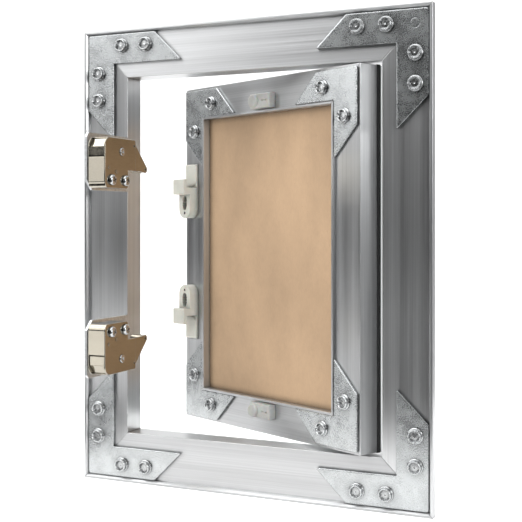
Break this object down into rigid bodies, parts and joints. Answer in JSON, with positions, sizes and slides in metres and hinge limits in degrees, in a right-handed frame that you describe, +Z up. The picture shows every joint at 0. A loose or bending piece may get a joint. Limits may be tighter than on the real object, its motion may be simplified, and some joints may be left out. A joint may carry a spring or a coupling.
{
  "type": "drywall access panel",
  "caption": "Flush drywall access panel: aluminium frame, plasterboard-filled door on pivot pins, sprung claw latches and nylon keepers.",
  "frame": {"origin": "centre of the wall cut-out, on the plane where the frame's flange bears on the back of the wall board", "axes": "+X towards the hinge side, +Y through the wall into the room, +Z up"},
  "size_m": [0.2, 0.1136, 0.25],
  "materials": {
    "mill_aluminium": "mill",
    "plate_aluminium": "satin",
    "rivet_aluminium": "satin",
    "galvanised_steel": "galvanised",
    "nickel_plated_steel": "polished",
    "zinc_plated_steel": "bright",
    "claw_steel": "satin",
    "spring_steel": "bright",
    "white_nylon": "satin",
    "milky_plastic": "translucent satin",
    "kraft_paper": "matte paper",
    "gypsum_core": "matte",
    "green_face_paper": "matte paper",
    "black_rubber": "matte"
  },
  "bodies": {
    "frame": {"frame_bottom_rail": "mill_aluminium", "frame_latch_rail": "mill_aluminium", "frame_top_rail": "mill_aluminium", "frame_hinge_rail": "mill_aluminium", "frame_plate_top_hinge": "plate_aluminium", "frame_plate_top_latch": "plate_aluminium", "frame_plate_bottom_hinge": "plate_aluminium", "frame_plate_bottom_latch": "plate_aluminium", "frame_clinch_buttons": "plate_aluminium", "upper_hinge_pin": "zinc_plated_steel", "upper_latch_bracket": "galvanised_steel", "upper_bracket_rivets": "rivet_aluminium", "upper_latch_housing": "nickel_plated_steel", "upper_latch_back_plate": "nickel_plated_steel", "upper_latch_spacers": "zinc_plated_steel", "upper_latch_screws": "zinc_plated_steel", "upper_claw_pin": "nickel_plated_steel", "upper_latch_cross_pins": "nickel_plated_steel", "upper_claw_spring": "spring_steel", "lower_hinge_pin": "zinc_plated_steel", "lower_latch_bracket": "galvanised_steel", "lower_bracket_rivets": "rivet_aluminium", "lower_latch_housing": "nickel_plated_steel", "lower_latch_back_plate": "nickel_plated_steel", "lower_latch_spacers": "zinc_plated_steel", "lower_latch_screws": "zinc_plated_steel", "lower_claw_pin": "nickel_plated_steel", "lower_latch_cross_pins": "nickel_plated_steel", "lower_claw_spring": "spring_steel"},
    "door": {"door_bottom_rail": "mill_aluminium", "door_latch_rail": "mill_aluminium", "door_top_rail": "mill_aluminium", "door_hinge_rail": "mill_aluminium", "door_plate_top_hinge": "plate_aluminium", "door_plate_top_latch": "plate_aluminium", "door_plate_bottom_hinge": "plate_aluminium", "door_plate_bottom_latch": "plate_aluminium", "door_clinch_buttons": "plate_aluminium", "board_back_paper": "kraft_paper", "board_core": "gypsum_core", "board_face_paper": "green_face_paper", "upper_keeper": "white_nylon", "lower_keeper": "white_nylon", "keeper_screws": "zinc_plated_steel", "top_board_clip": "milky_plastic", "bottom_board_clip": "milky_plastic", "upper_hinge_bush": "white_nylon", "lower_hinge_bush": "white_nylon", "door_seal": "black_rubber"},
    "upper_claw_body": {"upper_claw": "claw_steel"},
    "lower_claw_body": {"lower_claw": "claw_steel"},
    "upper_pawl_body": {"upper_pawl": "claw_steel"},
    "lower_pawl_body": {"lower_pawl": "claw_steel"}
  },
  "joints": [
    {"name": "door_hinge", "type": "hinge", "parent": "frame", "child": "door", "pos_m": [0.0554, 0.0096, 0], "axis": [0, 0, -1], "range_deg": [-24.9, 85.1]},
    {"name": "upper_claw_swing", "type": "hinge", "parent": "frame", "child": "upper_claw_body", "pos_m": [-0.06325, -0.0318, 0.0549], "axis": [-1, 0, 0], "range_deg": [0, 10], "stiffness_Nm_per_rad": 0.02, "springref_deg": -9.74},
    {"name": "lower_claw_swing", "type": "hinge", "parent": "frame", "child": "lower_claw_body", "pos_m": [-0.06325, -0.0318, -0.0529], "axis": [1, 0, 0], "range_deg": [0, 10], "stiffness_Nm_per_rad": 0.02, "springref_deg": -9.74},
    {"name": "upper_pawl_swing", "type": "hinge", "parent": "frame", "child": "upper_pawl_body", "pos_m": [-0.06385, -0.037, 0.0443], "axis": [-1, 0, 0], "range_deg": [0, 5]},
    {"name": "lower_pawl_swing", "type": "hinge", "parent": "frame", "child": "lower_pawl_body", "pos_m": [-0.06385, -0.037, -0.0423], "axis": [1, 0, 0], "range_deg": [0, 5]}
  ],
  "couplings": [
    {"joint": "upper_pawl_swing", "follows": "upper_claw_swing", "ratio": 0.5},
    {"joint": "lower_pawl_swing", "follows": "lower_claw_swing", "ratio": 0.5}
  ]
}
